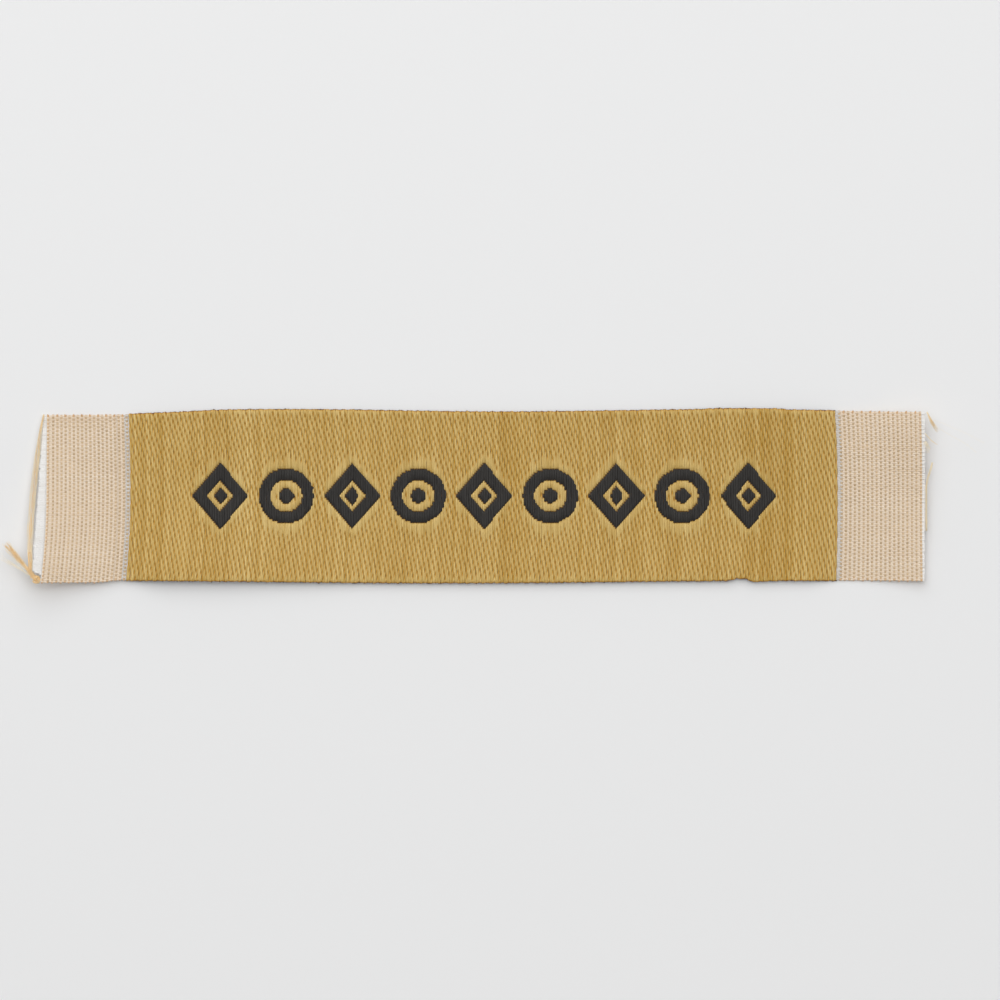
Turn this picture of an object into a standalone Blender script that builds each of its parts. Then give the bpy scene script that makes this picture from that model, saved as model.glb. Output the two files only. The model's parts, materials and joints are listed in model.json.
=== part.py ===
"""A woven end-fold garment label: a gold damask field with black figures, and a thin plain-woven
flap at each end that folds under it.

Metres, +Z up. The origin is the middle of the field's back face: +X runs along the label, +Y across
it and +Z out of its face. The field lies flat, and both flaps curl up a little towards their ends.
"""
import bpy
import math
from mathutils import Vector

MM = 0.001

# The label's outline
HALF_WIDTH = 9.05 * MM          # from the middle to a heat-cut edge
FIELD_HALF = 37.6 * MM          # from the middle to either end of the gold field
FLAP_END = 46.6 * MM            # from the middle to either flap's last weft
FOLD_STRIP = 0.75 * MM          # the soft strip between field and flap, which makes the fold
CURL = 1.05 * MM                # how high a flap's end stands above its fold

# Its layers, from the back up
BACK_BOTTOM, BACK_TOP = 0.0, 0.12 * MM
WARP_BOTTOM, WARP_TOP = 0.14 * MM, 0.20 * MM
FACE_BOTTOM, FACE_TOP = 0.22 * MM, 0.36 * MM
FIGURE_DEPTH = 0.06 * MM        # how thick a figure's patch of floats is
FOLD_Z = 0.18 * MM              # height of the fold axes, and of the flaps' middle plane
FLAP_THICKNESS = 0.20 * MM
LAYER_GAP = 0.02 * MM
SIDE_GAP = 0.03 * MM
FOLD_CLEARANCE = 0.15 * MM      # from the field's end to its fold axis, so that the strip can turn
WARP_CLEARANCE = 0.06 * MM      # from the field's warps to the same axis

# The row of figures
FIGURES = 9                     # diamonds and rings by turns, beginning and ending with a diamond
FIGURE_PITCH = 7.02 * MM
DIAMOND_HALF_WIDTH, DIAMOND_HALF_HEIGHT = 3.05 * MM, 3.60 * MM
RING_RADIUS = 2.95 * MM
STROKE = 1.25 * MM
DIAMOND_CORE_HALF_WIDTH, DIAMOND_CORE_HALF_HEIGHT = 0.82 * MM, 0.97 * MM
RING_CORE_RADIUS = 0.80 * MM
RING_SIDES = 32

# Edges, bare warps and loose threads
BEAD_RADIUS = 0.11 * MM         # the fused bead along a heat-cut edge
CLOTH_HALF = HALF_WIDTH - 2 * BEAD_RADIUS - SIDE_GAP
FRINGE_PITCH = 0.40 * MM
FRINGE_THICKNESS = 0.10 * MM
FRINGE_BAR = 0.10 * MM
LEFT_FRINGE = (0.17 * MM, 1.24 * MM)    # length of the bare warps, at +Y and at -Y
RIGHT_FRINGE = (0.12 * MM, 0.06 * MM)
WEFT_RADIUS = 0.20 * MM         # a weft that has come away, with its fibres spread
HAIR_RADIUS = 0.10 * MM         # a few fibres of one
KNOT_RADIUS = 0.27 * MM
KNOT_SHAPE = (1.15, 0.90, 0.80)
BRUSH_RADIUS = 0.50 * MM        # a cut end's fibres, where they are furthest apart
FRAY_RADIUS = 0.30 * MM
ROUTE_STEPS = 4                 # points between two corners of a thread's route

# Linear base colours and roughness
FINISHES = {
    "gold_weft": ((0.50, 0.32, 0.11), 0.55),
    "black_weft": ((0.034, 0.031, 0.028), 0.60),
    "white_warp": ((0.83, 0.80, 0.76), 0.60),
    "flap_cloth": ((0.63, 0.48, 0.35), 0.65),
    "fused_edge": ((0.10, 0.045, 0.017), 0.45),
    "loose_weft": ((0.72, 0.52, 0.27), 0.60),
}

FOLD_X = FIELD_HALF + FOLD_CLEARANCE    # first fold axis, between field and strip
FLAP_X = FOLD_X + FOLD_STRIP            # second fold axis, between strip and flap
WEDGE_TIP = 0.03 * MM                   # a strip's or flap's wedge stops this far from its axis
FLAP_STEPS = 10


def clear_scene():
    for thing in list(bpy.data.objects):
        bpy.data.objects.remove(thing, do_unlink=True)


def make_collection(name, hidden=False):
    group = bpy.data.collections.new(name)
    bpy.context.scene.collection.children.link(group)
    group.hide_render = hidden
    return group


def make_materials():
    for name, (colour, roughness) in FINISHES.items():
        material = bpy.data.materials.new(name)
        material.use_nodes = True
        shader = material.node_tree.nodes["Principled BSDF"]
        shader.inputs["Base Color"].default_value = (*colour, 1.0)
        shader.inputs["Roughness"].default_value = roughness
        shader.inputs["Metallic"].default_value = 0.0


def finish(thing, finish_name, group):
    """Gives an object its material and puts it in its collection only."""
    thing.data.materials.clear()
    thing.data.materials.append(bpy.data.materials[finish_name])
    for owner in list(thing.users_collection):
        owner.objects.unlink(thing)
    group.objects.link(thing)
    return thing


def box(name, low, high, finish_name, group):
    """A rectangular block between two corners."""
    middle = [(a + b) / 2 for a, b in zip(low, high)]
    bpy.ops.mesh.primitive_cube_add(size=1.0, location=middle)
    thing = bpy.context.object
    thing.name = name
    thing.scale = [b - a for a, b in zip(low, high)]
    bpy.ops.object.transform_apply(location=True, rotation=False, scale=True)
    return finish(thing, finish_name, group)


def slab(name, half_x, half_y, bottom, top, finish_name, group):
    """A flat rectangular layer centred on the origin."""
    return box(name, (-half_x, -half_y, bottom), (half_x, half_y, top), finish_name, group)


def combine(thing, tool, operation):
    """Joins a tool to a piece, or cuts it away; the tool itself is left out of the model."""
    tool.hide_render = True
    tool.display_type = "WIRE"
    change = thing.modifiers.new(tool.name, "BOOLEAN")
    change.operation = operation
    change.solver = "EXACT"
    change.object = tool


def plate(name, outlines, thickness, finish_name, group, location=(0, 0, 0), rotation=(0, 0, 0)):
    """A flat plate whose outline, and whose holes, are closed lists of (x, y)."""
    curve = bpy.data.curves.new(name, "CURVE")
    curve.dimensions = "2D"
    curve.fill_mode = "BOTH"
    curve.extrude = thickness / 2
    for outline in outlines:
        spline = curve.splines.new("POLY")
        spline.points.add(len(outline) - 1)
        for point, (x, y) in zip(spline.points, outline):
            point.co = (x, y, 0.0, 1.0)
        spline.use_cyclic_u = True
    thing = bpy.data.objects.new(name, curve)
    thing.location = location
    thing.rotation_euler = rotation
    return finish(thing, finish_name, group)


def smooth_route(corners, steps=5):
    """Points along a smooth curve through the corners."""
    points = [Vector(c) for c in corners]
    ends = [2 * points[0] - points[1], *points, 2 * points[-1] - points[-2]]
    route = []
    for before, start, stop, after in zip(ends, ends[1:], ends[2:], ends[3:]):
        for step in range(steps):
            t = step / steps
            bend = (2 * before - 5 * start + 4 * stop - after) * t**2
            twist = (3 * start - before - 3 * stop + after) * t**3
            route.append(0.5 * (2 * start + (stop - before) * t + bend + twist))
    route.append(points[-1])
    return route


def thread(name, route, radius, finish_name, group, swell=lambda share: 1.0):
    """A thread along a route; swell gives its radius, as a share, along its length."""
    curve = bpy.data.curves.new(name, "CURVE")
    curve.dimensions = "3D"
    curve.bevel_depth = radius
    curve.bevel_resolution = 2
    curve.use_fill_caps = True
    spline = curve.splines.new("POLY")
    spline.points.add(len(route) - 1)
    for index, (point, place) in enumerate(zip(spline.points, route)):
        point.co = (*place, 1.0)
        point.radius = swell(index / (len(route) - 1))
    return finish(bpy.data.objects.new(name, curve), finish_name, group)


def as_mesh(thing, group):
    """The same object as a closed mesh, which a Boolean can use."""
    evaluated = thing.evaluated_get(bpy.context.evaluated_depsgraph_get())
    mesh = bpy.data.meshes.new_from_object(evaluated)
    mesh.name = thing.name
    solid = bpy.data.objects.new(thing.name + "_solid", mesh)
    solid.matrix_world = thing.matrix_world.copy()
    bpy.data.objects.remove(thing, do_unlink=True)
    group.objects.link(solid)
    bpy.context.view_layer.objects.active = solid
    weld = solid.modifiers.new("weld", "WELD")
    weld.merge_threshold = 0.000001
    return solid


def diamond(half_width, half_height, grow=0.0):
    """A diamond's corners, with its sides moved out by grow."""
    to_side = half_width * half_height / math.hypot(half_width, half_height)
    share = 1 + grow / to_side
    a, b = half_width * share, half_height * share
    return [(a, 0.0), (0.0, b), (-a, 0.0), (0.0, -b)]


def disc(radius, grow=0.0):
    turns = [2 * math.pi * side / RING_SIDES for side in range(RING_SIDES)]
    return [((radius + grow) * math.cos(t), (radius + grow) * math.sin(t)) for t in turns]


def figure_shapes(is_diamond, grow=0.0):
    """(part of its name, its outlines) for a figure's outline and core, grown all round."""
    if is_diamond:
        size = (DIAMOND_HALF_WIDTH, DIAMOND_HALF_HEIGHT)
        core = (DIAMOND_CORE_HALF_WIDTH, DIAMOND_CORE_HALF_HEIGHT)
        band = [diamond(*size, grow), diamond(*size, -STROKE - grow)]
        return [("diamond", band), ("core", [diamond(*core, grow)])]
    band = [disc(RING_RADIUS, grow), disc(RING_RADIUS, -STROKE - grow)]
    return [("ring", band), ("core", [disc(RING_CORE_RADIUS, grow)])]


def inlay_figures(layer, prefix, finish_name, surface, inward, parts, cutters):
    """Cuts a shallow pocket for each figure in a layer's outer surface, and lays the figure in it."""
    pocket_depth = FIGURE_DEPTH + LAYER_GAP
    for number in range(FIGURES):
        x = (number - (FIGURES - 1) / 2) * FIGURE_PITCH
        is_diamond = number % 2 == 0
        for part, outlines in figure_shapes(is_diamond):
            name = f"{prefix}_{number + 1}_{part}"
            middle = surface + inward * FIGURE_DEPTH / 2
            plate(name, outlines, FIGURE_DEPTH, finish_name, parts, (x, 0.0, middle))
        for part, outlines in figure_shapes(is_diamond, SIDE_GAP):
            name = f"{prefix}_{number + 1}_{part}_cutter"
            cutter = plate(name, outlines, 2 * pocket_depth, finish_name, cutters, (x, 0.0, surface))
            bpy.context.view_layer.update()
            combine(layer, as_mesh(cutter, cutters), "DIFFERENCE")


def make_field(parts, cutters):
    """Gold face, white warp sheet and black back, with the figures let into both surfaces."""
    face = slab("gold_face", FIELD_HALF, CLOTH_HALF, FACE_BOTTOM, FACE_TOP, "gold_weft", parts)
    slab("field_warp", FOLD_X - WARP_CLEARANCE, CLOTH_HALF, WARP_BOTTOM, WARP_TOP, "white_warp", parts)
    back = slab("black_back", FIELD_HALF, CLOTH_HALF, BACK_BOTTOM, BACK_TOP, "black_weft", parts)
    inlay_figures(face, "figure", "black_weft", FACE_TOP, -1, parts, cutters)
    inlay_figures(back, "back_figure", "gold_weft", BACK_BOTTOM, 1, parts, cutters)
    for edge, side in (("top", 1), ("bottom", -1)):
        y = side * (HALF_WIDTH - BEAD_RADIUS)
        route = [(-FIELD_HALF, y, FOLD_Z), (FIELD_HALF, y, FOLD_Z)]
        thread(f"field_{edge}_edge", route, BEAD_RADIUS, "fused_edge", parts)


def flap_height(x):
    """Height of a flap's middle plane at a distance x from the label's middle."""
    along = max(0.0, (x - FLAP_X) / (FLAP_END - FLAP_X))
    return FOLD_Z + CURL * along**2


def profile_plate(name, profile, end, half_y, finish_name, parts):
    """A plate of one (x, z) profile, running across the label; end is -1 for the left, 1 for the right."""
    outline = [(end * x, z) for x, z in profile]
    return plate(name, [outline], 2 * half_y, finish_name, parts, rotation=(math.pi / 2, 0, 0))


def make_fold_strip(side_name, end, parts):
    """A six-sided strip whose two wedges let it turn a quarter turn against field and flap."""
    half = FLAP_THICKNESS / 2
    near, far = FOLD_X + WEDGE_TIP, FLAP_X - WEDGE_TIP
    upper = [(near, FOLD_Z), (near + half, FOLD_Z + half), (far - half, FOLD_Z + half)]
    lower = [(far, FOLD_Z), (far - half, FOLD_Z - half), (near + half, FOLD_Z - half)]
    profile_plate(f"{side_name}_fold_strip", upper + lower, end, HALF_WIDTH, "white_warp", parts)


def make_flap(side_name, end, fringe, parts, cutters):
    """The flap's cloth, its fused edges and the bare warps past its last weft."""
    half = FLAP_THICKNESS / 2
    near = FLAP_X + WEDGE_TIP
    length = FLAP_END - near - half
    places = [near + half + length * step / FLAP_STEPS for step in range(FLAP_STEPS + 1)]
    upper = [(x, flap_height(x) + half) for x in places]
    lower = [(x, flap_height(x) - half) for x in reversed(places)]
    profile = [(near, FOLD_Z), *upper, *lower]
    profile_plate(f"{side_name}_flap_cloth", profile, end, CLOTH_HALF, "flap_cloth", parts)
    for edge, side in (("top", 1), ("bottom", -1)):
        y = side * (HALF_WIDTH - BEAD_RADIUS)
        route = [(end * x, y, flap_height(x)) for x in places]
        thread(f"{side_name}_flap_{edge}_edge", route, BEAD_RADIUS, "fused_edge", parts)
    make_fringe(side_name, end, fringe, parts, cutters)


def make_fringe(side_name, end, fringe, parts, cutters):
    """A comb of bare warps, which goes on at the slope that the flap ends with."""
    top_length, bottom_length = fringe
    longest = FRINGE_BAR + max(fringe)
    half_z = FRINGE_THICKNESS / 2
    count = int(2 * CLOTH_HALF / FRINGE_PITCH)
    name = f"{side_name}_warp_fringe"
    comb = box(name, (0.0, -CLOTH_HALF, -half_z), (FRINGE_BAR, CLOTH_HALF, half_z), "white_warp", parts)
    low = (FRINGE_BAR / 2, -CLOTH_HALF + FRINGE_PITCH / 4, -half_z)
    high = (longest, -CLOTH_HALF + 3 * FRINGE_PITCH / 4, half_z)
    teeth = box(f"{name}_teeth", low, high, "white_warp", cutters)
    row = teeth.modifiers.new("row", "ARRAY")
    row.count = count
    row.use_relative_offset = False
    row.use_constant_offset = True
    row.constant_offset_displace = (0.0, FRINGE_PITCH, 0.0)
    trim = box(f"{name}_trim", (0, -HALF_WIDTH, -HALF_WIDTH), (HALF_WIDTH, HALF_WIDTH, HALF_WIDTH),
               "white_warp", cutters)
    trim.scale = (1.0, 2.0, 1.0)
    trim.location = (FRINGE_BAR + (top_length + bottom_length) / 2, 0.0, 0.0)
    trim.rotation_euler = (0.0, 0.0, math.atan((bottom_length - top_length) / (2 * CLOTH_HALF)))
    for tool, operation in ((teeth, "UNION"), (trim, "DIFFERENCE")):
        tool.parent = comb
        combine(comb, tool, operation)
    slope = math.atan(2 * CURL / (FLAP_END - FLAP_X))
    height = flap_height(FLAP_END) + SIDE_GAP * math.tan(slope)
    comb.location = (end * (FLAP_END + SIDE_GAP), 0.0, height)
    comb.rotation_euler = (0.0, -end * slope, 0.0)
    if end < 0:
        comb.scale = (-1.0, 1.0, 1.0)
    bpy.context.view_layer.update()


def make_loose_thread(name, corners, radius, parts, swell=lambda share: 1.0):
    """A loose thread along a smooth route through corners, which are in millimetres."""
    route = [corner * MM for corner in smooth_route(corners, ROUTE_STEPS)]
    thread(name, route, radius, "loose_weft", parts, swell)


def make_left_threads(parts):
    """The pulled-out end weft, its knot at the lower corner and the brush beyond the knot."""
    corners = [(-46.85, 8.72, 1.74), (-47.37, 7.0, 1.68), (-47.58, 4.9, 1.50), (-47.70, 2.6, 1.40)]
    corners += [(-48.05, -0.4, 1.25), (-48.20, -3.2, 1.18), (-48.30, -6.0, 1.15), (-48.27, -8.2, 1.20)]
    make_loose_thread("left_pulled_weft", corners, WEFT_RADIUS, parts)

    bpy.ops.mesh.primitive_uv_sphere_add(segments=12, ring_count=8, radius=KNOT_RADIUS)
    knot = bpy.context.object
    knot.name = "left_thread_knot"
    knot.location = (-48.00 * MM, -8.85 * MM, 1.05 * MM)
    knot.scale = KNOT_SHAPE
    bpy.ops.object.transform_apply(location=False, rotation=False, scale=True)
    knot.data.shade_smooth()
    finish(knot, "loose_weft", parts)

    corners = [(-48.50, -8.62, 1.00), (-49.0, -7.9, 0.92), (-49.6, -7.1, 0.90), (-51.15, -5.35, 0.85)]
    make_loose_thread("left_thread_brush", corners, BRUSH_RADIUS, parts, lambda share: 0.35 + 0.65 * share)


def make_right_threads(parts):
    """The frayed corner, a short wisp and the stray weft along the right flap's end."""
    corners = [(47.25, 8.95, 1.50), (47.55, 8.2, 1.50), (47.9, 7.4, 1.35), (48.25, 6.85, 1.20)]
    make_loose_thread("right_corner_fray", corners, FRAY_RADIUS, parts, lambda share: 1.0 - 0.5 * share)
    corners = [(47.02, 6.3, 1.50), (47.45, 5.85, 1.40), (48.0, 5.3, 1.25)]
    make_loose_thread("right_wisp", corners, HAIR_RADIUS, parts)
    corners = [(47.44, 3.5, 1.35), (47.18, 2.6, 1.45), (47.02, 1.4, 1.50)]
    corners += [(47.0, -1.6, 1.50), (47.0, -3.7, 1.50)]
    make_loose_thread("right_stray_weft", corners, HAIR_RADIUS, parts)


def main():
    clear_scene()
    make_materials()
    parts = make_collection("woven_label")
    cutters = make_collection("figure_cutters", hidden=True)
    make_field(parts, cutters)
    for side_name, end, fringe in (("left", -1, LEFT_FRINGE), ("right", 1, RIGHT_FRINGE)):
        make_fold_strip(side_name, end, parts)
        make_flap(side_name, end, fringe, parts, cutters)
    make_left_threads(parts)
    make_right_threads(parts)


main()
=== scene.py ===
"""Woven end-fold garment label, thread by thread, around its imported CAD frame.

Every weft of the field, and every weft and warp of the flaps, is a thread of its own. Gold and black
wefts lie in pairs: one floats on the face while the other runs behind, and they change places at each
figure. A weft dips and narrows wherever a warp would tie it down, in an eight-end satin. The field's
own warps are one ribbed sheet in the middle of the cloth, and no warp is drawn over a gold weft. X runs
along the label, as the warps do, and Y across it, as the wefts do.
"""

import bpy
import json
import math
import numpy as np
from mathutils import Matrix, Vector


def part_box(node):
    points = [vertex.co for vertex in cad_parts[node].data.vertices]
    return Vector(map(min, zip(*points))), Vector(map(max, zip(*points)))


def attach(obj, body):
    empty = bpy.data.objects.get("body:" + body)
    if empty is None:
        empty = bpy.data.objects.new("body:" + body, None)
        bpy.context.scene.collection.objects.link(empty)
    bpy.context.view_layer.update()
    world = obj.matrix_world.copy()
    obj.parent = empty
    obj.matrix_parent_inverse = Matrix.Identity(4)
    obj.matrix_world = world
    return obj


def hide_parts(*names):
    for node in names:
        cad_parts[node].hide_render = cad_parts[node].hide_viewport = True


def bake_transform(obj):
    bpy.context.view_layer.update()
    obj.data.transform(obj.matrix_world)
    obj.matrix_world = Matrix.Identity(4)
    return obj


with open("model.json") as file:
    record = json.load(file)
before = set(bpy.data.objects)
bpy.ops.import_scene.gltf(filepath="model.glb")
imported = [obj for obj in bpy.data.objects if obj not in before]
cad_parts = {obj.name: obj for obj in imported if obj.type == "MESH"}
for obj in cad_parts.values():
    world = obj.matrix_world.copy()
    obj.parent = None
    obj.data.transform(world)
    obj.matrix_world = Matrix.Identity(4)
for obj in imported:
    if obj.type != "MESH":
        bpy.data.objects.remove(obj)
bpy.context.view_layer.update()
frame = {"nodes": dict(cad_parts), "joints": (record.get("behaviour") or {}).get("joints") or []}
rng = np.random.default_rng(416)

MM = 0.001

# ---- Places and sizes that the frame gives
FACE_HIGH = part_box("gold_face")[1]
BACK_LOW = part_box("black_back")[0]
WARP_LOW, WARP_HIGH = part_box("field_warp")
EDGE_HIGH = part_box("field_top_edge")[1]
FLAP_LOW, FLAP_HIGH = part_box("right_flap_cloth")
FIELD_HALF = FACE_HIGH.x
HALF_WIDTH = EDGE_HIGH.y
JOINTS = {joint["name"]: joint for joint in frame["joints"]}
FLAP_X = JOINTS["right_flap_turn"]["pos_m"][0]
FOLD_Z = JOINTS["right_flap_turn"]["pos_m"][2]
FLAP_END = FLAP_HIGH.x
FLAP_HALF_THICK = FOLD_Z - FLAP_LOW.z
CURL = FLAP_HIGH.z - FLAP_HALF_THICK - FOLD_Z

# ---- The weave
WARPS = 88
WARP_PITCH = 2 * (HALF_WIDTH - 0.03 * MM) / WARPS
PICKS = 418                     # pairs of gold and black wefts
PITCH_DRIFT = 0.0165            # the picks stand this much closer at the left end, and wider at the right
SATIN = 8                       # each weft is tied down at one warp in eight
SATIN_STEP = 3                  # the tie moves this many warps from one weft to the next
CLEAR_OF_FIGURE = 4.5           # a weft isn't tied down nearer a figure's edge than this many warps
FACE_Z = FACE_HIGH.z - 0.06 * MM
BACK_Z = BACK_LOW.z + 0.06 * MM
WEFT_WIDTH = 0.222 * MM
WEFT_DEPTH = 0.120 * MM
TIE_DEPTH = 0.100 * MM
TIE_LENGTH = 0.245 * MM
PUSH = 0.030 * MM               # how far the warp that ties its neighbour pushes a weft aside
CHANGE_LENGTH = 0.085 * MM      # half the length over which a weft changes sides
CHANGE_SAMPLES = (-1.0, -0.35, 0.35, 1.0)       # where it bends there, in change lengths
FUSED_LENGTH = 0.10 * MM        # how far in from the cut edge a weft is melted
CLOSEST_SAMPLES = 0.012 * MM
GOLD_TIE_SAMPLES = (-1.9, -1.15, -0.55, 0, 0.55, 1.15, 1.9)    # where a weft bends by a tie, in warps
BLACK_TIE_SAMPLES = (-1.5, -0.7, 0, 0.7, 1.5)
SECTIONS = 4                    # the field's wefts are made in this many pieces
END_PICKS = 4                   # the first and the last picks, which are made as pieces of their own

# ---- The flaps' plain weave
FLAP_WEFTS = {-1: 20, 1: 19}    # how many, at the left end and at the right
FIRST_FLAP_WEFT = {-1: 37.85 * MM, 1: 38.06 * MM}
LAST_FLAP_WEFT = {-1: 46.38 * MM, 1: 46.44 * MM}
LAST_WEFT_GAP = {-1: 0.13 * MM, 1: 0.02 * MM}   # how much further off the last weft stands than the others
FOLD_MEETING = 38.12 * MM       # where the two pieces of a fold meet
FLAP_MEETING = 38.95 * MM       # where a fold's outer piece meets the flap
WEFT_MARGIN = 0.05 * MM         # a weft this near a meeting belongs to the piece beyond it
FOLD_START = 37.20 * MM         # where the bare warps come out from under the gold
WARP_WIDTH, WARP_DEPTH = 0.258 * MM, 0.064 * MM
OVER_WIDTH = 0.222 * MM         # a warp's width where a flap's weft squeezes it
FLAP_WEFT_WIDTH, FLAP_WEFT_DEPTH = 0.215 * MM, 0.080 * MM
WAVE = 0.024 * MM               # how far warps and wefts of the flap rise and fall past each other
FRINGE_START = 0.12 * MM        # from the last weft to where the bare warps begin
LEFT_FRINGE = (46.90 * MM, 47.97 * MM, -8.55 * MM)     # its top and bottom end, and its corner
RIGHT_FRINGE = (46.86 * MM, 46.84 * MM, -9.50 * MM)

# ---- How the cloth lifts and how its wefts lean, in millimetres along X
LEFT_LIFT_PLACES = [13, 20, 28, 34, 37.8, 38.6, 42.5, 46.6, 52]    # distances towards the left end
LEFT_LIFT = [0.0, 0.30, 0.62, 0.60, 0.32, 0.34, 0.82, 1.45, 1.9]
RIGHT_LIFT_PLACES = [18, 26, 33, 37.8, 38.6, 46.6]
RIGHT_LIFT = [0.0, 0.35, 0.42, 0.22, 0.23, 0.93]
FLAP_LIFT_START, FLAP_LIFT_SPAN = 38.6, 8
LEFT_TOP_LIFT, RIGHT_LOW_LIFT = -0.80, -0.25    # these corners end below the frame's curled flap
UPPER_EDGE_LIFT, LOWER_EDGE_LIFT = 0.22, 0.42
EDGE_LIFT_END, EDGE_LIFT_FADE = 37.4, 3         # where the long edges' own lift is gone
OVERLAP, REACH = 1.5, 10.5      # a half's lift starts this far past the middle, and grows over this width
BOW_PLACES = [-47, -37.6, 37.6, 47]
UPPER_BOW = [0.02, -0.20, -0.30, -0.15]         # how far a weft has leant by the upper edge
LOWER_BOW = [-0.50, -0.46, -0.14, 0.08]         # and by the lower one


def nodes_of(prefix):
    return [name for name in frame["nodes"] if name.startswith(prefix)]


def new_object(name, data):
    """An object in the scene that shows data."""
    thing = bpy.data.objects.new(name, data)
    bpy.context.scene.collection.objects.link(thing)
    return thing


def set_marks(mesh, tone, mark):
    """Give a mesh the two values per point that the yarns' materials read."""
    for name, values in (("tone", tone), ("mark", mark)):
        attribute = mesh.attributes.new(name, "FLOAT", "POINT")
        attribute.data.foreach_set("value", values.astype(np.float32))


def smooth_step(t):
    t = np.clip(t, 0, 1)
    return t * t * (3 - 2 * t)


# ---- Outline of the cloth

def edge_y(x, side):
    """Where the cloth's upper (side 1) or lower (side -1) edge lies: it was cut hot, and isn't straight.
    It wanders slowly, steps in or out at a few places along it, and has a fine ripple."""
    x = np.asarray(x, float) / MM
    if side > 0:
        slow = 0.13 * np.cos(2 * math.pi * (x + 21) / 47) - 0.22 * np.clip((-x - 29) / 9, 0, 1)
        slow = slow + 0.08 * smooth_step((x + 32) / 6)
        slow = slow + 0.10 * smooth_step((x - 23) / 2) * smooth_step((32.6 - x) / 0.8)
        quick = 0.022 * np.sin(x * 6.3 + np.sin(x * 0.9)) + 0.014 * np.sin(x * 11.9 + 1.0)
        return HALF_WIDTH + (slow + quick - 0.02) * MM
    slow = 0.13 * np.cos(2 * math.pi * (x + 4) / 72) + 0.10 * np.exp(-(((x - 29.2) / 1.4) ** 2)) + 0.05
    slow = slow + 0.24 * smooth_step((-x - 38) / 3)
    slow = slow - 0.24 * smooth_step((x - 26.0) / 1.2) * smooth_step((28.6 - x) / 0.5)
    quick = 0.026 * np.sin(x * 6.9 + 2 * np.sin(x * 0.7)) + 0.016 * np.sin(x * 12.7)
    return -HALF_WIDTH - (slow + quick + 0.06) * MM


def bow(x, y):
    """How far a weft that crosses the middle at x has moved along X by the time it reaches y."""
    places = np.array(BOW_PLACES) * MM
    upper = np.interp(x, places, np.array(UPPER_BOW) * MM)
    lower = np.interp(x, places, np.array(LOWER_BOW) * MM)
    share = np.abs(y) / HALF_WIDTH
    return np.where(np.asarray(y) > 0, upper, lower) * share**2


def warp_y(j, x):
    """Height of warp j along the label; the outer warps follow the edges."""
    share = (j + 0.5) / WARPS
    low, high = edge_y(x, -1) + 0.10 * MM, edge_y(x, 1) - 0.10 * MM
    return low + (high - low) * share


def flap_z(x):
    """Height of a flap's middle layer at a distance x from the label's middle, as in the frame."""
    along = np.clip((np.asarray(x) - FLAP_X) / (FLAP_END - FLAP_X), 0, None)
    return FOLD_Z + CURL * along**2


def rise(x, y):
    """How far the cloth stands above the frame's flat field and evenly curled flaps. The edges lift a
    little all along, the lower left corner more, and the right end more at its top."""
    x, y = np.asarray(x) / MM, np.asarray(y) / MM
    lower = smooth_step((OVERLAP - y) / REACH)
    upper = smooth_step((y + OVERLAP) / REACH)
    along_left = np.interp(-x, LEFT_LIFT_PLACES, LEFT_LIFT)
    left_top = LEFT_TOP_LIFT * np.clip((-x - FLAP_LIFT_START) / FLAP_LIFT_SPAN, 0, 1.2) ** 2
    along_right = np.interp(x, RIGHT_LIFT_PLACES, RIGHT_LIFT)
    right_low = RIGHT_LOW_LIFT * np.clip((x - FLAP_LIFT_START) / FLAP_LIFT_SPAN, 0, 1.2) ** 2
    edges = np.where(y > 0, UPPER_EDGE_LIFT, LOWER_EDGE_LIFT) * np.minimum(np.abs(y) / 9, 1) ** 1.7
    edges = edges * np.clip((EDGE_LIFT_END - np.abs(x)) / EDGE_LIFT_FADE, 0, 1)
    total = along_left * lower + left_top * upper + along_right * upper + right_low * lower + edges
    return total * MM


# ---- Threads

def level_frame(points):
    """The directions across and up at each point of a thread, with across kept level."""
    along = np.gradient(points, axis=0)
    along /= np.linalg.norm(along, axis=1)[:, None]
    across = np.cross((0.0, 0.0, 1.0), along)
    across /= np.linalg.norm(across, axis=1)[:, None]
    return across, np.cross(along, across)


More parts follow.
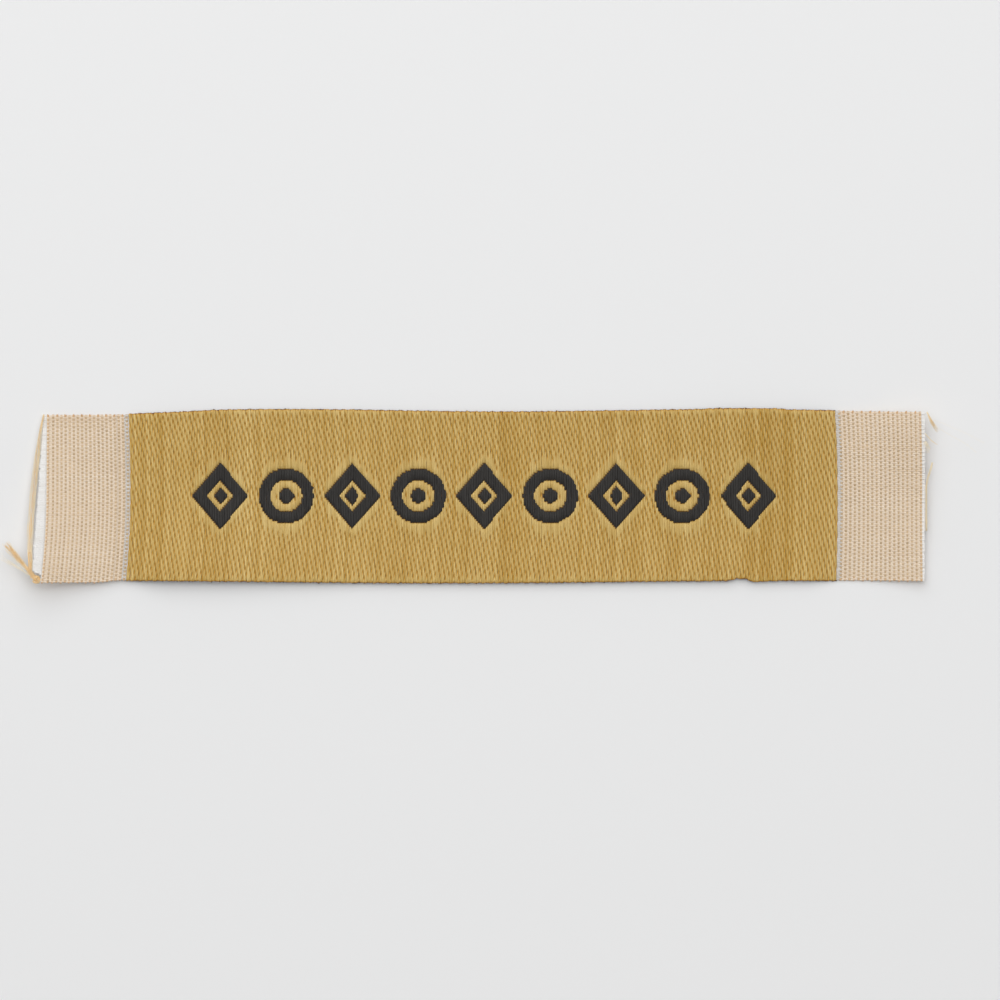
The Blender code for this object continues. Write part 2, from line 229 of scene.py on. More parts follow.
class Threads:
    """A set of threads, gathered one by one and then made into one mesh."""

    def __init__(self, sides):
        self.sides = sides
        self.points, self.sizes, self.marks = [], [], []
        self.acrosses, self.ups, self.counts, self.finishes = [], [], [], []

    def add(self, points, width, depth, tone=0.5, mark=0.0, across=None, finish=0):
        """One thread through points, closed at both ends. across is the direction of its width."""
        points = np.asarray(points, float)
        count = len(points)
        if across is None:
            side, up = level_frame(points)
        else:
            side = np.tile(across, (count, 1))
            up = np.tile((0.0, 0.0, 1.0), (count, 1))
        self.points.append(points)
        self.sizes.append(np.column_stack([np.full(count, 0.5) * width, np.full(count, 0.5) * depth]))
        self.marks.append(np.column_stack([np.full(count, 1.0) * tone, np.full(count, 1.0) * mark]))
        self.acrosses.append(side)
        self.ups.append(up)
        self.counts.append(count)
        self.finishes.append(finish)

    def build(self, name, materials):
        sides, counts = self.sides, np.array(self.counts)
        points, sizes, marks = map(np.concatenate, (self.points, self.sizes, self.marks))
        across, up = np.concatenate(self.acrosses), np.concatenate(self.ups)
        turn = 2 * math.pi * np.arange(sides) / sides
        wide = across[:, None] * (sizes[:, :1] * np.cos(turn))[:, :, None]
        high = up[:, None] * (sizes[:, 1:] * np.sin(turn))[:, :, None]
        vertices = (points[:, None] + wide + high).reshape(-1, 3)
        vertices[:, 2] += np.repeat(rise(points[:, 0], points[:, 1]), sides)

        starts = np.cumsum(counts) - counts
        lasts = starts + counts - 1
        rings = np.setdiff1d(np.arange(counts.sum()), lasts)
        here, next_side = np.arange(sides), (np.arange(sides) + 1) % sides
        first = rings[:, None] * sides
        after = first + sides
        quads = np.stack([first + here, first + next_side, after + next_side, after + here], 2)
        start_caps = starts[:, None] * sides + here[::-1]
        end_caps = lasts[:, None] * sides + here
        corners = np.concatenate([quads.ravel(), start_caps.ravel(), end_caps.ravel()])
        quad_count, cap_count = len(rings) * sides, 2 * len(counts)
        loop_starts = np.concatenate([
            np.arange(quad_count) * 4, quad_count * 4 + np.arange(cap_count) * sides])
        of_thread = np.repeat(np.arange(len(counts)), (counts - 1) * sides)
        finishes = np.array(self.finishes)
        face_finishes = np.concatenate([finishes[of_thread], finishes, finishes])

        mesh = bpy.data.meshes.new(name)
        mesh.vertices.add(len(vertices))
        mesh.loops.add(len(corners))
        mesh.polygons.add(quad_count + cap_count)
        mesh.vertices.foreach_set("co", vertices.astype(np.float32).ravel())
        mesh.loops.foreach_set("vertex_index", corners.astype(np.int32))
        mesh.polygons.foreach_set("loop_start", loop_starts.astype(np.int32))
        mesh.polygons.foreach_set("material_index", face_finishes.astype(np.int32))
        mesh.polygons.foreach_set("use_smooth", np.ones(quad_count + cap_count, bool))
        set_marks(mesh, np.repeat(marks[:, 0], sides), np.repeat(marks[:, 1], sides))
        mesh.update(calc_edges=True)
        for material in materials:
            mesh.materials.append(material)
        return new_object(name, mesh)


WEFTWAYS = (-1.0, 0.0, 0.0)     # the direction of a weft's width, as the weft runs along +Y
WARPWAYS = (0.0, 1.0, 0.0)      # the direction of a warp's width, as the warp runs along +X


# ---- Materials

def linear(red, green, blue):
    """A colour as read off a screen, from 0 to 255, as the linear numbers that shaders take."""
    shares = [value / 255 for value in (red, green, blue)]
    return (*[s / 12.92 if s <= 0.04045 else ((s + 0.055) / 1.055) ** 2.4 for s in shares], 1.0)


ALONG_Y = (26000.0, 900.0, 26000.0)     # fibre noise for wefts
ALONG_X = (900.0, 26000.0, 26000.0)     # fibre noise for warps
EVEN_FINE, EVEN_COARSE = (9000.0, 9000.0, 9000.0), (5000.0, 5000.0, 5000.0)
CLOUDS = (420.0, 420.0, 420.0)          # slow changes of tone over the cloth
FIBRE_BUMP = 0.25


class Yarn:
    """A yarn's material. It runs from dark to light with the thread's tone, its fibres and a slow cloud,
    and mark blends in a third colour."""

    def __init__(self, name, dark, light, marked, roughness, sheen, fibres):
        self.material = bpy.data.materials.new(name)
        self.material.use_nodes = True
        self.tree = self.material.node_tree
        self.shader = self.tree.nodes["Principled BSDF"]
        self.shader.inputs["Specular IOR Level"].default_value = 0.35
        self.shader.inputs["Sheen Weight"].default_value = sheen
        self.shader.inputs["Sheen Roughness"].default_value = 0.4
        streak = self.noise(fibres, 3.0)
        cloud = self.noise(CLOUDS, 2.0)
        tone = self.node("ShaderNodeAttribute", attribute_name="tone").outputs["Fac"]
        level = self.sum_of((tone, 1.0), (streak, 0.55), (cloud, 0.35), shift=-0.45)
        colour = self.mix(level, linear(*dark), linear(*light))
        mark = self.node("ShaderNodeAttribute", attribute_name="mark").outputs["Fac"]
        colour = self.mix(mark, colour, linear(*marked))
        self.tree.links.new(colour, self.shader.inputs["Base Color"])
        rough = self.node("ShaderNodeMapRange")
        rough.inputs["To Min"].default_value = roughness - 0.10
        rough.inputs["To Max"].default_value = roughness + 0.10
        self.tree.links.new(streak, rough.inputs["Value"])
        self.tree.links.new(rough.outputs["Result"], self.shader.inputs["Roughness"])
        bump = self.node("ShaderNodeBump")
        bump.inputs["Strength"].default_value = FIBRE_BUMP
        bump.inputs["Distance"].default_value = 0.01 * MM
        self.tree.links.new(streak, bump.inputs["Height"])
        self.tree.links.new(bump.outputs["Normal"], self.shader.inputs["Normal"])

    def node(self, kind, **settings):
        made = self.tree.nodes.new(kind)
        for key, value in settings.items():
            setattr(made, key, value)
        return made

    def noise(self, scale, detail):
        place = self.node("ShaderNodeTexCoord")
        stretch = self.node("ShaderNodeMapping")
        stretch.inputs["Scale"].default_value = scale
        made = self.node("ShaderNodeTexNoise")
        made.inputs["Scale"].default_value = 1.0
        made.inputs["Detail"].default_value = detail
        self.tree.links.new(place.outputs["Object"], stretch.inputs["Vector"])
        self.tree.links.new(stretch.outputs["Vector"], made.inputs["Vector"])
        return made.outputs["Fac"]

    def sum_of(self, *terms, shift):
        """shift plus each value times its share."""
        total = None
        for value, share in terms:
            step = self.node("ShaderNodeMath", operation="MULTIPLY_ADD")
            self.tree.links.new(value, step.inputs[0])
            step.inputs[1].default_value = share
            if total is None:
                step.inputs[2].default_value = shift
            else:
                self.tree.links.new(total, step.inputs[2])
            total = step.outputs["Value"]
        return total

    def mix(self, share, first, second):
        """A blend of two colours, either of which may come from a node."""
        made = self.node("ShaderNodeMix", data_type="RGBA")
        self.tree.links.new(share, made.inputs["Factor"])
        for value, socket in ((first, made.inputs["A"]), (second, made.inputs["B"])):
            if isinstance(value, tuple):
                socket.default_value = value
            else:
                self.tree.links.new(value, socket)
        return made.outputs["Result"]


# The gold's third colour, a deep orange, goes into the dips where the warps tie a weft down. There it is
# partly painted shade of the dip and partly the deeper colour the yarn shows there.
GOLD = Yarn("gold_yarn", (188, 151, 72), (231, 205, 138), (206, 148, 24), 0.50, 0.10, ALONG_Y).material
BLACK = Yarn("black_yarn", (36, 34, 32), (60, 57, 54), (70, 46, 24), 0.62, 0.04, ALONG_Y).material
# The white warps' third colour, a brown, is painted shade: it darkens the ground under the wefts, warmed as
# if by light bounced off the gold.
WARP = Yarn("white_warp_yarn", (206, 198, 188), (242, 240, 237), (150, 112, 62), 0.55, 0.05,
            ALONG_X).material
PEACH = Yarn("flap_warp_yarn", (226, 204, 178), (244, 229, 210), (222, 197, 168), 0.60, 0.05,
             ALONG_X).material
TAN = Yarn("flap_weft_yarn", (190, 162, 124), (220, 191, 152), (217, 173, 128), 0.60, 0.05,
           ALONG_Y).material
LOOSE = Yarn("loose_yarn", (238, 214, 168), (252, 242, 218), (240, 192, 114), 0.60, 0.05,
             EVEN_FINE).material
FUSED = Yarn("fused_edge", (110, 62, 32), (164, 104, 56), (76, 46, 32), 0.42, 0.0, EVEN_COARSE).material


# ---- Field

FIGURE_NODES = nodes_of("figure_")


def figure_triangles():
    """The triangles of every figure's upper face, as (x, y) corners."""
    found = []
    for name in FIGURE_NODES:
        mesh = frame["nodes"][name].data
        mesh.calc_loop_triangles()
        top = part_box(name)[1].z - 0.001 * MM
        for triangle in mesh.loop_triangles:
            corners = [mesh.vertices[index].co for index in triangle.vertices]
            if min(corner.z for corner in corners) > top:
                found.append(np.array([(corner.x, corner.y) for corner in corners]))
    return found


FIGURE_TRIANGLES = figure_triangles()


def figure_spells(x):
    """The stretches of the line at x, from low to high, where a figure covers the face."""
    found = []
    for triangle in FIGURE_TRIANGLES:
        if triangle[:, 0].min() < x < triangle[:, 0].max():
            crossings = []
            for (x1, y1), (x2, y2) in zip(triangle, np.roll(triangle, -1, axis=0)):
                if (x1 - x) * (x2 - x) < 0:
                    crossings.append(y1 + (y2 - y1) * (x - x1) / (x2 - x1))
            if len(crossings) == 2:
                found.append(sorted(crossings))
    spells = []
    for low, high in sorted(found):
        if spells and low <= spells[-1][1] + 0.001 * MM:
            spells[-1][1] = max(high, spells[-1][1])
        else:
            spells.append([low, high])
    return spells


def wander(places, size, length):
    """A slow random drift along a thread."""
    phases = rng.uniform(0, 2 * math.pi, 3)
    waves = [np.sin(places * 2 * math.pi / (length * k) + p) for k, p in zip((1.0, 0.57, 2.1), phases)]
    return size * sum(waves) / 2


def field_weft(threads, x, home, away, ties, spells, width, depth, overrun, tone, finish, tie_samples,
               tie_colour_and_shade, tie_in_figure):
    """One weft of the field. It lies at height home, changes to away inside the figures, and is drawn
    towards the cloth's middle at each tie; tie_in_figure is how much so inside the figures."""
    low, high = float(edge_y(x, -1)) - overrun, float(edge_y(x, 1)) + overrun
    samples = [low, low + 0.05 * MM, low + 0.16 * MM, high - 0.16 * MM, high - 0.05 * MM, high]
    for tie in ties:
        samples += [tie + step * WARP_PITCH for step in tie_samples]
    stops = sorted([low, high, *ties, *[end for spell in spells for end in spell]])
    for start, stop in zip(stops, stops[1:]):
        parts = max(1, round((stop - start) / (5 * WARP_PITCH)))
        samples += [start + (stop - start) * (part + 0.5) / parts for part in range(parts)]
    for end in (end for spell in spells for end in spell):
        samples += [end + step * CHANGE_LENGTH for step in CHANGE_SAMPLES]
    y = np.array(sorted(s for s in samples if low <= s <= high))
    y = y[np.concatenate([[True], np.diff(y) > CLOSEST_SAMPLES])]

    crossed = np.zeros(len(y))
    for start, stop in spells:
        for end, sign in ((start, 1), (stop, -1)):
            crossed += sign * smooth_step((y - end) / (2 * CHANGE_LENGTH) + 0.5)
    tied = np.zeros(len(y))
    held = np.zeros(len(y))
    for tie in ties:
        tied = np.maximum(tied, np.exp(-(((y - tie) / TIE_LENGTH) ** 2)))
        held = np.maximum(held, np.exp(-(((y - tie) / (3 * TIE_LENGTH)) ** 2)))
    tied = tied * (1 - (1 - tie_in_figure) * crossed)
    changing = 4 * crossed * (1 - crossed)
    to_end = np.minimum(y - low, high - y)
    fused = np.exp(-((to_end / FUSED_LENGTH) ** 2))

    height = home + (away - home) * crossed
    height += np.sign((home + away) / 2 - height) * TIE_DEPTH * tied
    height += (FOLD_Z - height) * 0.75 * fused
    height += wander(y, 0.004 * MM, 1.6 * MM)
    aside = rng.normal(0, 0.008 * MM) * (1 - 0.75 * held)
    for tie in ties:
        for neighbour, way in ((tie - SATIN_STEP * WARP_PITCH, -1), (tie + SATIN_STEP * WARP_PITCH, 1)):
            aside = aside + way * PUSH * np.exp(-(((y - neighbour) / (1.3 * TIE_LENGTH)) ** 2))
    place = x + bow(x, y) + aside + wander(y, 0.005 * MM, 2.3 * MM)
    wide = width * (1 - 0.34 * tied) * (1 - 0.45 * changing) * (1 - 0.30 * fused)
    thick = depth * (1 - 0.25 * tied) * (1 - 0.30 * changing) * (1 - 0.25 * fused)
    # The mark brings in the yarn's third colour. At the gold's ties it is partly painted shade of the dip
    # and partly the yarn's deeper colour there; it also goes where a weft changes sides and at its melted
    # ends.
    mark = np.clip(tie_colour_and_shade * tied + 0.8 * changing + 0.75 * fused, 0, 1)
    points = np.column_stack([place, y, height])
    threads.add(points, wide, thick, tone, mark, WEFTWAYS, finish)


def ties_of(i, shift, spells):
    """Where the warps tie pick i down: at one warp in eight, but never close to a figure's edge."""
    warps = np.arange(WARPS)
    warps = warps[(warps + SATIN_STEP * i + shift) % SATIN == 0]
    places = (warps + 0.5 - WARPS / 2) * WARP_PITCH
    ends = np.array([end for spell in spells for end in spell])
    if len(ends):
        nearest = np.abs(places[:, None] - ends).min(axis=1)
        places = places[nearest > CLEAR_OF_FIGURE * WARP_PITCH]
    return [place for place in places if abs(place) < HALF_WIDTH - 0.25 * MM]


def whole_warps(y):
    """The height y moved to the side of a warp, a little nearer the middle than the nearest one."""
    return math.copysign(math.floor(abs(y) / WARP_PITCH + 0.4) * WARP_PITCH, y)


def pick_x(i):
    """Where pick i crosses the label's middle."""
    t = (i + 0.5) / PICKS
    return -FIELD_HALF + 2 * FIELD_HALF * (t + PITCH_DRIFT * t * (t - 1))


def make_field_wefts():
    """All gold and black wefts: the last few at either end go into pieces of their own, the others into the
    field's sections.
    """
    inner = PICKS - 2 * END_PICKS
    groups = {}
    for section in range(SECTIONS):
        groups[f"gold_wefts_{section + 1}"] = Threads(6)
        groups[f"black_wefts_{section + 1}"] = Threads(5)
    for side_name in ("left", "right"):
        groups[f"{side_name}_end_wefts"] = Threads(6)
    drift = np.convolve(rng.normal(0, 1, PICKS + 8), np.ones(9) / 3, "valid")
    for i in range(PICKS):
        x = pick_x(i)
        half_pick = FIELD_HALF / PICKS
        spells = [[whole_warps(end) for end in spell] for spell in figure_spells(x)]
        spells = [spell for spell in spells if spell[1] > spell[0]]
        if i < END_PICKS or i >= PICKS - END_PICKS:
            gold = black = groups["left_end_wefts" if i < END_PICKS else "right_end_wefts"]
            black_finish = 1
        else:
            section = (i - END_PICKS) * SECTIONS // inner + 1
            gold, black = groups[f"gold_wefts_{section}"], groups[f"black_wefts_{section}"]
            black_finish = 0
        tone = 0.42 + 0.12 * rng.normal() + 0.05 * drift[i] - 0.10 * i / PICKS
        field_weft(gold, x, FACE_Z, BACK_Z, ties_of(i, 0, spells), spells,
                   WEFT_WIDTH * rng.normal(1, 0.04), WEFT_DEPTH, rng.normal(-0.03, 0.02) * MM,
                   tone, 0, GOLD_TIE_SAMPLES, 0.85, 1.0)
        field_weft(black, x + half_pick, BACK_Z, FACE_Z, ties_of(i, SATIN // 2, spells), spells,
                   WEFT_WIDTH * rng.normal(1, 0.04), WEFT_DEPTH, rng.normal(0.0, 0.025) * MM,
                   0.45 + 0.08 * rng.normal(), black_finish, BLACK_TIE_SAMPLES, 0.0, 0.3)
    return groups


def make_ground():
    """The field's warps lying side by side: a ribbed sheet, white where it runs out at either end, and
    brown with painted shade where the wefts cover it.
    """
    along = np.linspace(WARP_LOW.x, WARP_HIGH.x, 121)
    ribs = np.arange(WARPS * 2 + 1) / 2 - 0.5
    grid_x, grid_j = np.meshgrid(along, ribs, indexing="ij")
    y = warp_y(grid_j, grid_x)
    half = (WARP_HIGH.z - WARP_LOW.z) / 2
    middle = (WARP_HIGH.z + WARP_LOW.z) / 2
    bulge = np.where(np.arange(len(ribs)) % 2 == 1, half, half * 0.45)[None, :]
    upper = np.stack([grid_x, y, middle + bulge + 0 * y], 2)
    lower = np.stack([grid_x, y, middle - bulge + 0 * y], 2)
    rows, columns = grid_x.shape
    vertices = np.concatenate([upper.reshape(-1, 3), lower.reshape(-1, 3)])
    vertices[:, 2] += rise(vertices[:, 0], vertices[:, 1])
    index = np.arange(rows * columns).reshape(rows, columns)
    under = index + rows * columns
    top = np.stack([index[:-1, :-1], index[1:, :-1], index[1:, 1:], index[:-1, 1:]], 2).reshape(-1, 4)
    bottom = np.stack([under[:-1, :-1], under[:-1, 1:], under[1:, 1:], under[1:, :-1]], 2).reshape(-1, 4)
    rim = np.concatenate([index[:-1, 0], index[-1, :-1], index[1:, -1][::-1], index[0, 1:][::-1]])
    rim_under = rim + rows * columns
    sides = np.stack([np.roll(rim, -1), rim, rim_under, np.roll(rim_under, -1)], 1)
    faces = np.concatenate([top, bottom, sides])
    mesh = bpy.data.meshes.new("field_ground")
    mesh.from_pydata(vertices.tolist(), [], faces.tolist())
    mesh.polygons.foreach_set("use_smooth", np.ones(len(faces), bool))
    # Where the wefts cover the ground, it takes the warps' brown third colour. This is painted shade under
    # the wefts, warm with light bounced off the gold.
    painted_shade_under_wefts = np.clip((FIELD_HALF - 0.12 * MM - np.abs(vertices[:, 0])) / (0.1 * MM), 0, 1)
    set_marks(mesh, np.full(len(vertices), 0.5), painted_shade_under_wefts)
    mesh.materials.append(WARP)
    return new_object("field_ground", mesh)


def make_field_edge(name, side):
    """The thin fused line along a heat-cut edge: melted, uneven and nearly black."""
    threads = Threads(7)
    x = np.arange(-FIELD_HALF, FIELD_HALF, 0.12 * MM)
    size = 0.09 + 0.018 * np.sin(x / MM * 7.1) + rng.normal(0, 0.012, len(x))
    y = edge_y(x, side) - side * 0.045 * MM + rng.normal(0, 0.006 * MM, len(x))
    z = np.full(len(x), FOLD_Z - 0.03 * MM) + rng.normal(0, 0.008 * MM, len(x))
    tone = 0.4 + 0.4 * np.sin(x / MM * 2.3 + side) * np.sin(x / MM * 0.61)
    share = np.clip((y - y.min()) / (y.max() - y.min() + 1e-9), 0, 1)
    points = np.column_stack([x + bow(x, y), y, z])
    threads.add(points, size * MM, 1.7 * size * MM, tone, 0.6 * share, WARPWAYS)
    return threads.build(name, [FUSED])


# ---- Folds and flaps

BLOB_STEPS = np.array([-1.0, -0.6, 0.0, 0.6, 1.0])      # along a melted blob, as shares of its reach
FRINGE_WIDTHS = np.array([0.94, 1.05, 1.08, 1.05, 0.9])  # a bare warp's width along it
LAST_WEFT_TONE = 0.35           # the last weft of a flap is this much lighter and more marked


def weft_spacing(end):
    span = LAST_FLAP_WEFT[end] - LAST_WEFT_GAP[end] - FIRST_FLAP_WEFT[end]
    return span / (FLAP_WEFTS[end] - 1)


def weft_place(end, k):
    """Where the flap's weft k crosses the middle, as a distance from the label's middle."""
    is_last = k == FLAP_WEFTS[end] - 1
    return FIRST_FLAP_WEFT[end] + weft_spacing(end) * k + LAST_WEFT_GAP[end] * is_last


def flap_point(end, distance, y, lift):
    """A point of the flap: a distance from the label's middle, bowed as the wefts are, and lifted."""
    x = end * distance
    return x + bow(x, y), flap_z(distance) + lift


def warp_stretch(threads, end, j, start, stop, tone, over_mark=0.9):
    """Warp j from start to stop, passing over and under the flap's wefts where there are any."""
    spacing = weft_spacing(end)
    cuts = np.arange(FIRST_FLAP_WEFT[end] - spacing, LAST_FLAP_WEFT[end] + 3 * spacing, spacing / 4)
    distance = np.array([start, *[c for c in cuts if start + 0.02 * MM < c < stop - 0.02 * MM], stop])
    k = (distance - FIRST_FLAP_WEFT[end]) / spacing
    woven = smooth_step(k + 1) * smooth_step(FLAP_WEFTS[end] - k)
    y = warp_y(j, end * distance)
    over = -np.cos(math.pi * (k + j)) * woven
    x, z = flap_point(end, distance, y, WAVE * over)
    width = WARP_WIDTH + (OVER_WIDTH - WARP_WIDTH) * over**2
    mark = over_mark * np.clip(over, 0, 1) ** 3
    points = np.column_stack([x, y, z])[::int(end)]
    threads.add(points, width[::int(end)], WARP_DEPTH, tone, mark[::int(end)], WARPWAYS)


def flap_weft(threads, end, k, tone, finish=0):
    """Weft k of a flap, over one warp and under the next, with a melted blob at each end."""
    j = np.arange(-0.5, WARPS, 0.5)
    distance = weft_place(end, k) + rng.normal(0, 0.008 * MM)
    y = warp_y(j, end * distance)
    over = np.cos(math.pi * (k + j))
    reach = 0.05 * MM
    y = np.concatenate([[y[0] - reach], y, [y[-1] + reach]])
    over = np.concatenate([[0.0], over, [0.0]])
    x, z = flap_point(end, distance, y, 0.85 * WAVE * over)
    x = x + wander(y, 0.006 * MM, 3.0 * MM)
    blob = np.exp(-((np.minimum(y - y[0], y[-1] - y) / (0.30 * MM)) ** 2)) * (0.9 if k % 2 else 0.5)
    tones = np.full(len(y), tone) + 0.30 * rng.normal(size=len(y))
    extra = LAST_WEFT_TONE * (k == FLAP_WEFTS[end] - 1)
    tones += extra
    mark = np.clip(blob + extra, 0, 1)
    width = FLAP_WEFT_WIDTH * (1 + 0.16 * over)
    threads.add(np.column_stack([x, y, z]), width, FLAP_WEFT_DEPTH, tones, mark, WEFTWAYS, finish)


def wefts_between(end, low, high):
    """The flap's wefts whose places lie from low up to high."""
    return [k for k in range(FLAP_WEFTS[end]) if low <= weft_place(end, k) < high]


def make_fold_inner(side_name, end):
    """Bare warps past the last gold weft, and the flap's first weft."""
    threads = Threads(6)
    for j in range(WARPS):
        # The bare warps in the fold take a dark tone of the white yarn: painted shade of the fold.
        warp_stretch(threads, end, j, FOLD_START, FOLD_MEETING, 0.1 + 0.1 * rng.normal(), 0.0)
    for k in wefts_between(end, 0, FOLD_MEETING - WEFT_MARGIN):
        flap_weft(threads, end, k, 0.4 + 0.1 * rng.normal(), 1)
    return threads.build(f"{side_name}_fold_inner", [WARP, TAN])


def make_fold_outer(side_name, end):
    """The first of the flap's weave, past the fold."""
    threads = Threads(6)
    for j in range(WARPS):
        warp_stretch(threads, end, j, FOLD_MEETING, FLAP_MEETING, 0.45 + 0.1 * rng.normal())
    for k in wefts_between(end, FOLD_MEETING - WEFT_MARGIN, FLAP_MEETING - WEFT_MARGIN):
        flap_weft(threads, end, k, 0.4 + 0.1 * rng.normal(), 1)
    return threads.build(f"{side_name}_fold_outer", [PEACH, TAN])


def make_flap_cloth(side_name, end):
    """The flap's plain weave."""
    warps, wefts = Threads(6), Threads(6)
    for j in range(WARPS):
        stop = LAST_FLAP_WEFT[end] + FRINGE_START
        warp_stretch(warps, end, j, FLAP_MEETING, stop, 0.5 + 0.12 * rng.normal())
    for k in wefts_between(end, FLAP_MEETING - WEFT_MARGIN, math.inf):
        flap_weft(wefts, end, k, 0.5 + 0.10 * rng.normal())
    return warps.build(f"{side_name}_flap_warps", [PEACH]), wefts.build(f"{side_name}_flap_wefts", [TAN])


def make_fringe(side_name, end, top_end, bottom_end, corner):
    """The bare warps past the last weft, cut off unevenly along a line from top_end to bottom_end, and
    short below the height corner."""
    threads = Threads(6)
    start = LAST_FLAP_WEFT[end] + FRINGE_START
    along = np.linspace(0, 1, len(FRINGE_WIDTHS))
    for j in range(WARPS):
        share = (j + 0.5) / WARPS
        line = bottom_end + (top_end - bottom_end) * share
        height = float(warp_y(j, end * line))
        line = min(line, start + 0.1 * MM + max(0, height - corner) * 2.5)
        stop = line - end * float(bow(end * line, height)) + rng.normal(0, 0.03 * MM)
        distance = start + max(0.05 * MM, stop - start) * along
        y = warp_y(j, end * distance) + rng.normal(0, 0.012 * MM) * along**2
        k = (start - FIRST_FLAP_WEFT[end]) / weft_spacing(end)
        woven = smooth_step(FLAP_WEFTS[end] - k)
        lift = -WAVE * math.cos(math.pi * (k + j)) * woven * (1 - along)
        lift = lift + rng.normal(0, 0.012 * MM) * along
        x, z = flap_point(end, distance, y, lift)
        width = WARP_WIDTH * FRINGE_WIDTHS
        points = np.column_stack([x, y, z])[::int(end)]
        threads.add(points, width[::int(end)], WARP_DEPTH, 1.0 + 0.1 * rng.normal(), 0.0, WARPWAYS)
    return threads.build(f"{side_name}_fringe", [WARP])


def make_flap_edge(name, end, side):
    """Small melted blobs at a flap's long edge, at every second weft."""
    threads = Threads(6)
    for k in range(1, FLAP_WEFTS[end], 2):
        distance = weft_place(end, k) + rng.normal(0, 0.02 * MM)
        y = edge_y(end * distance, side) - side * 0.07 * MM
        reach = rng.uniform(0.07, 0.10) * MM
        x, z = flap_point(end, distance, y, 0.01 * MM)
        aside = 0.5 * reach * BLOB_STEPS * end
        points = np.column_stack([x + aside, y + reach * BLOB_STEPS, z + 0 * BLOB_STEPS])
        size = 0.15 * MM * np.sqrt(1.05 - BLOB_STEPS**2)
        threads.add(points, size, 0.8 * size, 0.4 + 0.2 * rng.normal(), 0.8, WEFTWAYS)
    return threads.build(name, [TAN])


# ---- Loose threads

def smooth_route(corners, steps=8):
    """Points along a smooth curve through the corners, as the frame's loose threads have."""
    points = np.array(corners, float) * MM
    ends = np.vstack([2 * points[0] - points[1], points, 2 * points[-1] - points[-2]])
    route = []
    for before, start, stop, after in zip(ends, ends[1:], ends[2:], ends[3:]):
        for t in np.arange(steps) / steps:
            bend = (2 * before - 5 * start + 4 * stop - after) * t**2
            twist = (3 * start - before - 3 * stop + after) * t**3
            route.append(0.5 * (2 * start + (stop - before) * t + bend + twist))
    route.append(points[-1])
    return np.array(route)


def filaments(threads, route, count, radius, thickness, opening=None, twist=0.0, mark=0.0, tone=0.55,
              height=0.6, ragged=0.0):
    """A bundle of fine filaments round a route. opening gives its spread, as a share, along its length;
    height is the bundle's height as a share of its width, and ragged the share of the length by which
    a filament's end may fall short."""
    share = np.linspace(0, 1, len(route))
    spread = np.ones(len(route)) if opening is None else opening(share)
    side, up = level_frame(route)
    for _ in range(count):
        angle = rng.uniform(0, 2 * math.pi) + twist * 2 * math.pi * share
        out = radius * math.sqrt(rng.uniform(0.02, 1.0)) * spread
        drift = np.column_stack([wander(share, 0.12 * radius, 0.4) * spread for _ in range(3)])
        path = route + side * (out * np.cos(angle))[:, None] + drift
        path += up * (height * out * np.sin(angle))[:, None]
        size = thickness * rng.uniform(0.8, 1.2)
        points = len(path) - round(ragged * rng.uniform(0, 1) * len(path))
        threads.add(path[:points], size, size, tone + 0.2 * rng.normal(), mark)


# Corners of the loose threads' routes, in millimetres
PULLED_WEFT = [(-46.80, 8.66, 1.70), (-47.15, 7.0, 1.66), (-47.42, 4.9, 1.50), (-47.66, 2.6, 1.40),
               (-47.95, -0.4, 1.25), (-48.15, -3.2, 1.18), (-48.20, -6.0, 1.15), (-48.08, -7.9, 1.15)]
KNOT = (-47.53, -8.80, 1.12)
KNOT_LOOPS = 15
BRUSH = [(-47.95, -8.40, 1.10), (-48.55, -7.60, 1.05), (-49.25, -6.85, 1.00), (-50.15, -5.80, 0.92),
         (-50.95, -4.95, 0.85)]
PALE_SIDE = [(-48.60, -8.05, 1.00), (-49.70, -7.30, 0.92), (-50.60, -6.75, 0.85), (-51.30, -6.10, 0.80)]
CORNER_FRAY = [(47.00, 8.90, 1.50), (47.38, 8.1, 1.50), (47.8, 7.4, 1.35), (48.25, 6.75, 1.2)]
WISP = [(46.80, 6.65, 1.42), (47.45, 5.95, 1.36), (48.15, 5.4, 1.25)]
TUFT = [(46.80, 5.75, 1.40), (47.05, 5.15, 1.38), (47.30, 4.55, 1.32)]
STRAY_WEFT = [(47.62, 3.55, 1.35), (47.33, 2.55, 1.45), (47.02, 1.4, 1.50), (46.98, -0.4, 1.50),
              (46.98, -3.7, 1.50)]
LONG_HAIR = [(48.3, 7.9, 1.25), (49.8, 7.25, 1.0), (51.3, 6.6, 0.85), (53.2, 5.6, 0.8)]
SIDE_HAIR = [(48.3, 7.2, 1.25), (49.6, 6.4, 1.0), (51.2, 5.5, 0.85), (52.3, 4.6, 0.8)]


def ribbon_spread(share):
    return np.interp(share, [0, 0.12, 0.4, 0.75, 1], [0.30, 0.45, 1.0, 0.95, 0.62])


def brush_spread(share):
    return 0.18 + 1.0 * share**1.1


def fray_spread(share):
    return 0.25 + share * 0.9


def wisp_spread(share):
    return 0.5 + 0.5 * share


def tuft_spread(share):
    return 0.5 + 0.6 * share


def stray_spread(share):
    return np.full_like(share, 0.8)


def make_pulled_weft():
    """The end weft that has come away: its twist is gone, so its filaments lie as a loose flat ribbon."""
    threads = Threads(5)
    route = smooth_route(PULLED_WEFT)
    filaments(threads, route, 17, 0.34 * MM, 0.033 * MM, ribbon_spread, 0.25, 0.10, 0.7, 0.3)
    filaments(threads, route, 7, 0.15 * MM, 0.036 * MM, ribbon_spread, 0.8, 0.45, 0.6, 0.5)
    return threads.build("left_pulled_weft_yarn", [LOOSE])


